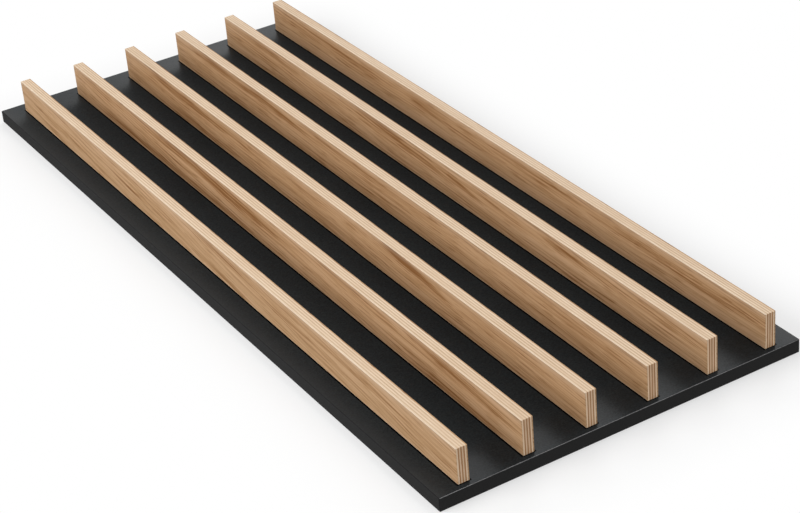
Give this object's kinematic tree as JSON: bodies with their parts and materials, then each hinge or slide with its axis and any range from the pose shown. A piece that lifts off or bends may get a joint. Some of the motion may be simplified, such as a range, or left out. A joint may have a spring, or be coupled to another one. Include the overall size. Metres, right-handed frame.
{
  "type": "acoustic slat wall panel",
  "caption": "Wall panel of plywood slats standing on edge along a black backing board, screwed on from behind, whose channels scatter sound.",
  "frame": {"origin": "centre of the board's back face, which goes against the wall", "axes": "+Z out of the wall through the slats, +Y along the slats, +X across them"},
  "size_m": [0.5, 1.2, 0.065],
  "materials": {
    "black_board": "satin black facing",
    "oak_plywood": "clear matt oil",
    "zinc_plated_steel": "zinc plated"
  },
  "bodies": {
    "root": {"backing_board": "black_board", "slat_1": "oak_plywood", "slat_2": "oak_plywood", "slat_3": "oak_plywood", "slat_4": "oak_plywood", "slat_5": "oak_plywood", "slat_6": "oak_plywood", "slat_screws": "zinc_plated_steel"}
  },
  "joints": []
}
